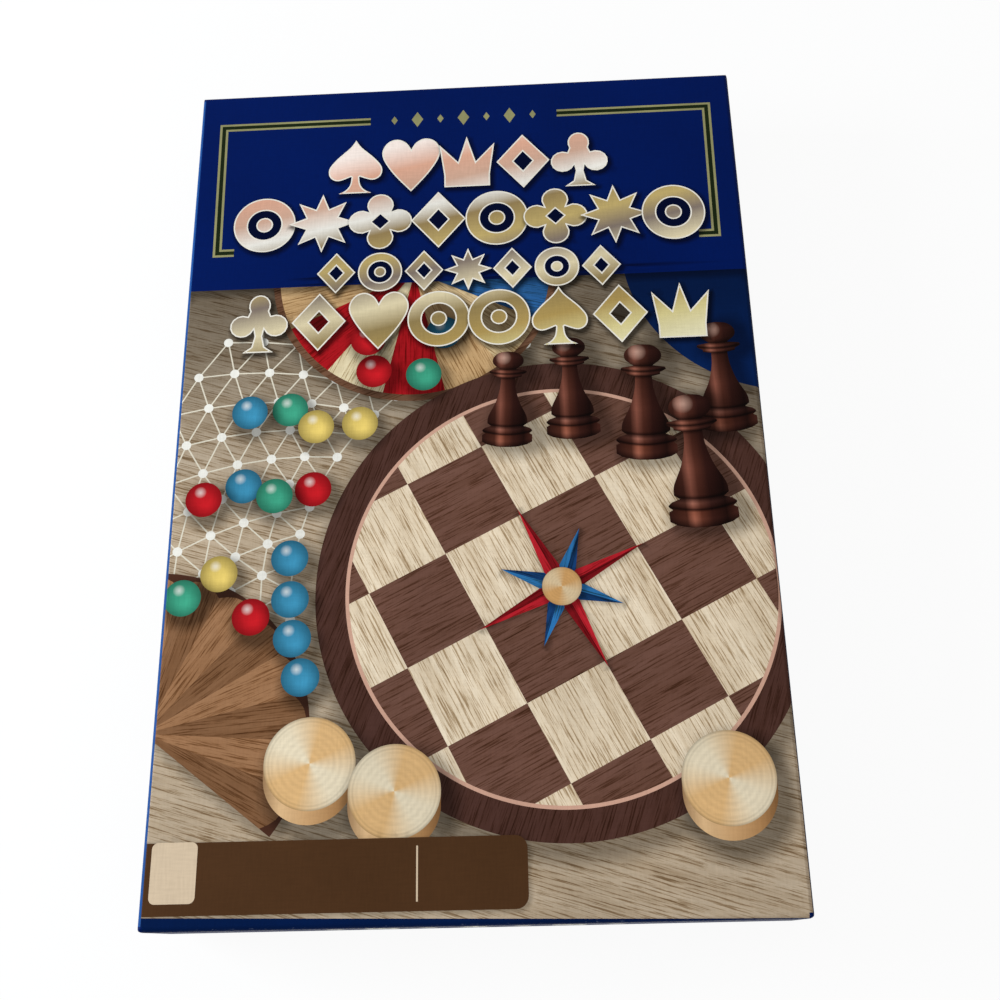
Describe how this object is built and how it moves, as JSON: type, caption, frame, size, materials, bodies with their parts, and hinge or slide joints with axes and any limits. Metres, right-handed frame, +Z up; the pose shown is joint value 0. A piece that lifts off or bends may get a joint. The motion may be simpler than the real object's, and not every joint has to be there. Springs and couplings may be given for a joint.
{
  "type": "games compendium box",
  "caption": "Shallow rectangular game box with a lift-off printed lid; inside, a formed tray of wooden chessmen, draughts and marbles under a two-sided folding board.",
  "frame": {"origin": "centre of the closed box's underside, where it rests", "axes": "+Z up out of the lid, +Y along the long side towards the cover's head, +X along the short side to the cover's right"},
  "size_m": [0.265, 0.4, 0.045],
  "materials": {
    "greyboard": "matt",
    "stay_paper": "matt",
    "base_paper": "satin",
    "cover_paper": "satin",
    "tray_sheet": "satin",
    "board_paper": "matt",
    "board_print": "satin",
    "leaflet_paper": "matt",
    "light_wood": "satin",
    "dark_wood": "gloss",
    "red_glass": "gloss",
    "blue_glass": "gloss",
    "yellow_glass": "gloss",
    "green_glass": "gloss",
    "white_glass": "gloss",
    "black_glass": "gloss"
  },
  "bodies": {
    "box_base": {"base_board": "greyboard", "base_corner_stays": "stay_paper", "base_wall_wrap": "base_paper", "base_bottom_sheet": "base_paper"},
    "lid": {"lid_board": "greyboard", "lid_corner_stays": "stay_paper", "lid_cover_wrap": "cover_paper"},
    "tray": {"insert_tray": "tray_sheet", "rules_leaflet": "leaflet_paper", "light_king": "light_wood", "light_queen": "light_wood", "light_bishops": "light_wood", "light_knights": "light_wood", "light_rooks": "light_wood", "light_pawns": "light_wood", "dark_king": "dark_wood", "dark_queen": "dark_wood", "dark_bishops": "dark_wood", "dark_knights": "dark_wood", "dark_rooks": "dark_wood", "dark_pawns": "dark_wood", "light_draughts": "light_wood", "dark_draughts": "dark_wood", "red_marbles": "red_glass", "blue_marbles": "blue_glass", "yellow_marbles": "yellow_glass", "green_marbles": "green_glass", "white_marbles": "white_glass", "black_marbles": "black_glass"},
    "board_lower": {"board_lower_core": "greyboard", "board_lower_back": "board_paper", "board_lower_face": "board_print"},
    "board_upper": {"board_upper_core": "greyboard", "board_upper_back": "board_paper", "board_upper_face": "board_print"}
  },
  "joints": [
    {"name": "lid_lift", "type": "slide", "parent": "box_base", "child": "lid", "axis": [0, 0, 1], "range_m": [0, 0.8]},
    {"name": "tray_lift", "type": "slide", "parent": "box_base", "child": "tray", "axis": [0, 0, 1], "range_m": [0, 0.07]},
    {"name": "board_lift", "type": "slide", "parent": "box_base", "child": "board_lower", "axis": [0, 0, 1], "range_m": [0, 0.14]},
    {"name": "board_fold", "type": "hinge", "parent": "board_lower", "child": "board_upper", "pos_m": [0.0657, 0, 0.0388], "axis": [0, 1, 0], "range_deg": [0, 180]}
  ],
  "couplings": [
    {"joint": "tray_lift", "follows": "lid_lift", "ratio": 0.0875},
    {"joint": "board_lift", "follows": "lid_lift", "ratio": 0.175},
    {"joint": "board_fold", "follows": "lid_lift", "rad_per_m": 3.9269}
  ]
}
